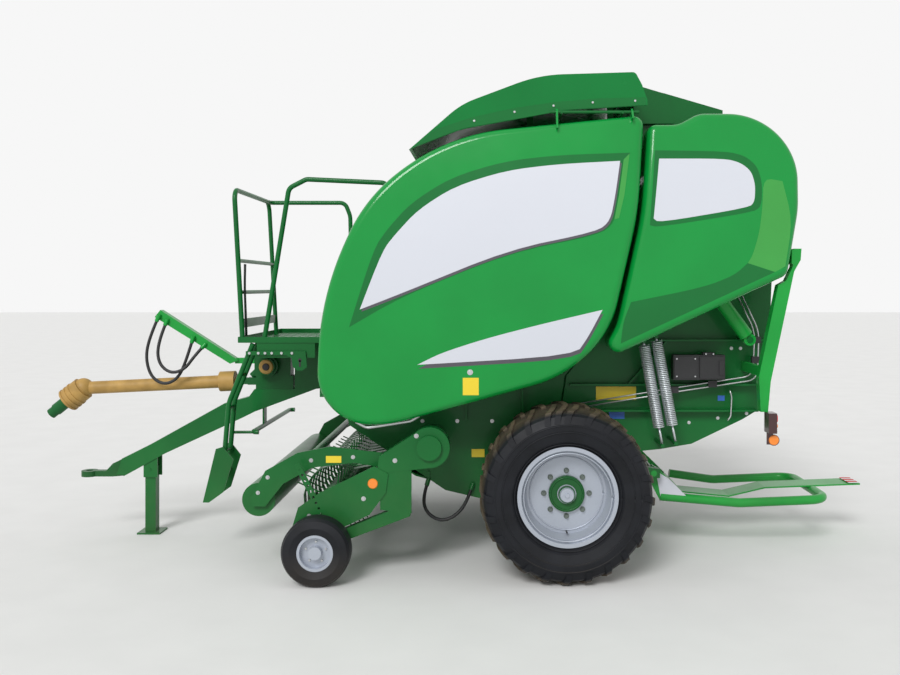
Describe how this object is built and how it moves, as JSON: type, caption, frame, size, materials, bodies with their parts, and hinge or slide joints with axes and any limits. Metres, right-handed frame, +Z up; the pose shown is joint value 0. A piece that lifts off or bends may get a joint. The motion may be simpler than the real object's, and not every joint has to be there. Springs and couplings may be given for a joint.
{
  "type": "round baler",
  "caption": "Towed variable-chamber round baler with pickup, gull-wing side hoods, lifting tailgate, bale kicker, platform and drawbar jack.",
  "frame": {"origin": "middle of the machine's bounding box, on the ground", "axes": "+X to the rear, +Z up, +Y to the machine's right; the drawbar points along -X"},
  "size_m": [5.8523, 2.64, 3.0974],
  "materials": {
    "panel_green": "glossy moulded panels",
    "frame_green": "gloss paint on welded steel",
    "bright_green": "gloss paint",
    "tyre": "moulded rubber, dusty on the tread",
    "rim_silver": "satin silver paint",
    "hub_green": "painted casting",
    "steel": "bare or plated steel",
    "galvanised": "zinc-plated coil springs",
    "chrome_rod": "polished piston rod",
    "belt_rubber": "woven rubber belting",
    "hose_black": "hydraulic hose",
    "guard_yellow": "dusty yellow plastic guard",
    "black_plastic": "black moulded plastic",
    "lamp_plastic": "lamp body with lens"
  },
  "bodies": {
    "chassis": {"axle_beam": "frame_green", "chassis_wall_left": "frame_green", "chassis_wall_right": "frame_green", "cross_frame": "frame_green", "front_cover": "panel_green", "top_cover": "panel_green", "front_rollers": "steel", "front_belts": "belt_rubber", "drawbar": "frame_green", "hitch_eye": "hub_green", "gearbox": "hub_green", "platform_deck": "frame_green", "handrails": "frame_green", "ladder": "frame_green", "hose_arm": "bright_green", "hose_long": "hose_black", "hose_short": "hose_black", "hose_under": "hose_black"},
    "feed_rotor": {"feed_rotor": "frame_green"},
    "tailgate": {"tailgate_wall_left": "frame_green", "tailgate_wall_right": "frame_green", "rear_rollers": "steel", "rear_belts": "belt_rubber", "rear_panel_left": "panel_green", "rear_panel_right": "panel_green", "rear_frame": "bright_green", "tail_lamps": "lamp_plastic", "tailgate_springs": "galvanised", "valve_box": "black_plastic", "rear_deflector": "frame_green"},
    "hood_left": {"hood_left": "panel_green", "hood_handle_left": "steel"},
    "hood_right": {"hood_right": "panel_green", "hood_handle_right": "steel"},
    "barrel_left": {"cylinder_barrel_left": "bright_green"},
    "barrel_right": {"cylinder_barrel_right": "bright_green"},
    "rod_left": {"cylinder_rod_left": "chrome_rod"},
    "rod_right": {"cylinder_rod_right": "chrome_rod"},
    "wheel_left": {"tyre_left": "tyre", "rim_left": "rim_silver", "hub_left": "hub_green"},
    "wheel_right": {"tyre_right": "tyre", "rim_right": "rim_silver", "hub_right": "hub_green"},
    "pickup": {"pickup_frame": "frame_green", "pickup_side_left": "frame_green", "pickup_side_right": "frame_green"},
    "reel": {"pickup_reel": "frame_green"},
    "press_frame": {"press_frame": "frame_green"},
    "press_roller": {"press_roller": "frame_green"},
    "gauge_left": {"gauge_tyre_left": "tyre", "gauge_rim_left": "rim_silver"},
    "gauge_right": {"gauge_tyre_right": "tyre", "gauge_rim_right": "rim_silver"},
    "kicker": {"kicker": "bright_green"},
    "jack": {"jack": "frame_green"},
    "step": {"step": "frame_green"},
    "driveline": {"pto_guard": "guard_yellow", "pto_yoke": "hub_green"}
  },
  "joints": [
    {"name": "wheel_left_spin", "type": "hinge", "parent": "chassis", "child": "wheel_left", "pos_m": [0.746, -1.04, 0.528], "axis": [0, -1, 0], "continuous": true},
    {"name": "wheel_right_spin", "type": "hinge", "parent": "chassis", "child": "wheel_right", "pos_m": [0.746, 1.04, 0.528], "axis": [0, -1, 0], "continuous": true},
    {"name": "feed_rotor_spin", "type": "hinge", "parent": "chassis", "child": "feed_rotor", "pos_m": [-0.085, 0, 0.798], "axis": [0, -1, 0], "continuous": true},
    {"name": "tailgate_open", "type": "hinge", "parent": "chassis", "child": "tailgate", "pos_m": [1.226, 0, 2.88], "axis": [0, -1, 0], "range_deg": [0, 60]},
    {"name": "barrel_left_swing", "type": "hinge", "parent": "tailgate", "child": "barrel_left", "pos_m": [1.936, -0.83, 1.44], "axis": [0, -1, 0], "range_deg": [0, 3.6]},
    {"name": "barrel_right_swing", "type": "hinge", "parent": "tailgate", "child": "barrel_right", "pos_m": [1.936, 0.83, 1.44], "axis": [0, -1, 0], "range_deg": [0, 3.6]},
    {"name": "rod_left_slide", "type": "slide", "parent": "barrel_left", "child": "rod_left", "axis": [-0.5877, 0, 0.8091], "range_m": [0, 0.378]},
    {"name": "rod_right_slide", "type": "slide", "parent": "barrel_right", "child": "rod_right", "axis": [-0.5877, 0, 0.8091], "range_m": [0, 0.378]},
    {"name": "hood_left_open", "type": "hinge", "parent": "chassis", "child": "hood_left", "pos_m": [0.926, -1.082, 2.846], "axis": [-1, 0, 0], "range_deg": [0, 70]},
    {"name": "hood_right_open", "type": "hinge", "parent": "chassis", "child": "hood_right", "pos_m": [0.926, 1.082, 2.846], "axis": [1, 0, 0], "range_deg": [0, 70]},
    {"name": "pickup_lift", "type": "hinge", "parent": "chassis", "child": "pickup", "pos_m": [-0.085, 0, 0.798], "axis": [0, 1, 0], "range_deg": [0, 8]},
    {"name": "reel_spin", "type": "hinge", "parent": "pickup", "child": "reel", "pos_m": [-0.684, 0, 0.44], "axis": [0, -1, 0], "continuous": true},
    {"name": "press_lift", "type": "hinge", "parent": "pickup", "child": "press_frame", "pos_m": [-0.334, 0, 0.7], "axis": [0, 1, 0], "range_deg": [0, 8]},
    {"name": "press_roller_spin", "type": "hinge", "parent": "press_frame", "child": "press_roller", "pos_m": [-1.152, 0, 0.456], "axis": [0, -1, 0], "continuous": true},
    {"name": "gauge_left_spin", "type": "hinge", "parent": "pickup", "child": "gauge_left", "pos_m": [-0.748, -1.2375, 0.205], "axis": [0, -1, 0], "continuous": true},
    {"name": "gauge_right_spin", "type": "hinge", "parent": "pickup", "child": "gauge_right", "pos_m": [-0.748, 1.2375, 0.205], "axis": [0, -1, 0], "continuous": true},
    {"name": "kicker_lift", "type": "hinge", "parent": "chassis", "child": "kicker", "pos_m": [1.386, 0, 0.52], "axis": [0, -1, 0], "range_deg": [0, 25]},
    {"name": "jack_fold", "type": "hinge", "parent": "chassis", "child": "jack", "pos_m": [-2.169, 0, 0.461], "axis": [0, -1, 0], "range_deg": [0, 95]},
    {"name": "step_fold", "type": "hinge", "parent": "chassis", "child": "step", "pos_m": [-1.5025, -0.434, 0.67], "axis": [0, 1, 0], "range_deg": [0, 120]},
    {"name": "driveline_pitch", "type": "hinge", "parent": "chassis", "child": "driveline", "pos_m": [-1.504, 0, 1.095], "axis": [0, -1, 0], "range_deg": [-10, 10]}
  ],
  "couplings": [
    {"joint": "barrel_left_swing", "follows": "tailgate_open", "ratio": 0.0566},
    {"joint": "barrel_right_swing", "follows": "tailgate_open", "ratio": 0.0566},
    {"joint": "rod_left_slide", "follows": "tailgate_open", "m_per_rad": 0.3576},
    {"joint": "rod_right_slide", "follows": "tailgate_open", "m_per_rad": 0.3576}
  ]
}
